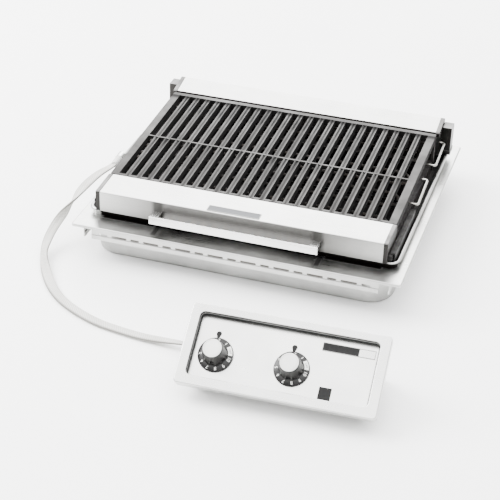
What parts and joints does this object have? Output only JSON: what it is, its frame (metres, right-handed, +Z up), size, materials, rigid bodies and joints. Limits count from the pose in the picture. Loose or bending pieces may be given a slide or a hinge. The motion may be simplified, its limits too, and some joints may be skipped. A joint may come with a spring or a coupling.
{
  "type": "built-in electric charbroiler with remote control panel",
  "caption": "Drop-in electric charbroiler: sloped grooved grate over heating elements in a deep tub, pull-out grease drawer, and a corded control panel with knobs.",
  "frame": {"origin": "centre of the tub's flat base, on the surface that the tub stands on", "axes": "+Z up, +Y to the rear, away from the drawer handle, +X to the right seen from the handle"},
  "size_m": [0.6942, 0.872, 0.1504],
  "materials": {
    "stainless": "satin",
    "polished_steel": "polished",
    "tub_steel": "matt coated",
    "wool": "mineral wool",
    "grate_iron": "ground top",
    "frame_steel": "matt black",
    "sheath": "oxidised",
    "wire_steel": "bright",
    "end_steel": "satin grey",
    "ceramic": "glazed",
    "sleeve": "woven",
    "bezel_metal": "satin",
    "badge_metal": "satin",
    "fixing_steel": "plated",
    "switch_plastic": "matt",
    "knob_plastic": "gloss",
    "cap_metal": "brushed",
    "fitting_metal": "die cast"
  },
  "bodies": {
    "charbroiler": {"angle_connector": "fitting_metal", "badge_plate": "badge_metal", "control_cord": "sleeve", "control_plate": "stainless", "cord_gland": "fitting_metal", "deck_flange": "stainless", "drawer_runner_left": "stainless", "drawer_runner_right": "stainless", "drip_pan": "stainless", "element_frame": "frame_steel", "element_straps": "frame_steel", "grate_support_front": "frame_steel", "grate_support_rear": "frame_steel", "heating_element_front": "sheath", "heating_element_rear": "sheath", "hold_down_strip_front": "stainless", "hold_down_strip_left": "stainless", "hold_down_strip_rear": "stainless", "hold_down_strip_right": "stainless", "insulation_pad": "wool", "lift_wire_front": "wire_steel", "lift_wire_rear": "wire_steel", "outer_tub": "tub_steel", "panel_back_box": "tub_steel", "panel_bezel": "bezel_metal", "rear_back_panel": "stainless", "rear_cover": "stainless", "rear_end_plate_left": "end_steel", "rear_end_plate_right": "end_steel", "rear_post_left": "stainless", "rear_post_right": "stainless", "rim_collar": "stainless", "switch_body_left": "switch_plastic", "switch_body_right": "switch_plastic", "switch_nuts": "fixing_steel", "terminal_block": "ceramic", "terminal_box": "stainless", "terminal_box_lid": "stainless", "well_liner": "stainless"},
    "grease_drawer": {"front_cover": "stainless", "front_end_plate_left": "end_steel", "front_end_plate_right": "end_steel", "grease_trough": "stainless", "drawer_arm_left": "stainless", "drawer_arm_right": "stainless", "handle_bar": "polished_steel", "handle_posts": "stainless", "handle_screws": "fixing_steel", "name_plate": "badge_metal"},
    "grate": {"cooking_grate": "grate_iron"},
    "knob_left": {"switch_spindle_left": "fixing_steel", "knob_dial_left": "knob_plastic", "knob_grip_left": "knob_plastic", "knob_cap_left": "cap_metal"},
    "knob_right": {"switch_spindle_right": "fixing_steel", "knob_dial_right": "knob_plastic", "knob_grip_right": "knob_plastic", "knob_cap_right": "cap_metal"}
  },
  "joints": [
    {"name": "drawer_slide", "type": "slide", "parent": "charbroiler", "child": "grease_drawer", "axis": [0, -1, 0], "range_m": [0, 0.1]},
    {"name": "grate_lift", "type": "slide", "parent": "charbroiler", "child": "grate", "axis": [0, 0, 1], "range_m": [0, 0.06]},
    {"name": "knob_left_turn", "type": "hinge", "parent": "charbroiler", "child": "knob_left", "pos_m": [0.06621, -0.54521, 0.05735], "axis": [0.0205, -0.5874, 0.809], "continuous": true},
    {"name": "knob_right_turn", "type": "hinge", "parent": "charbroiler", "child": "knob_right", "pos_m": [0.18914, -0.54091, 0.05735], "axis": [0.0205, -0.5874, 0.809], "continuous": true}
  ]
}
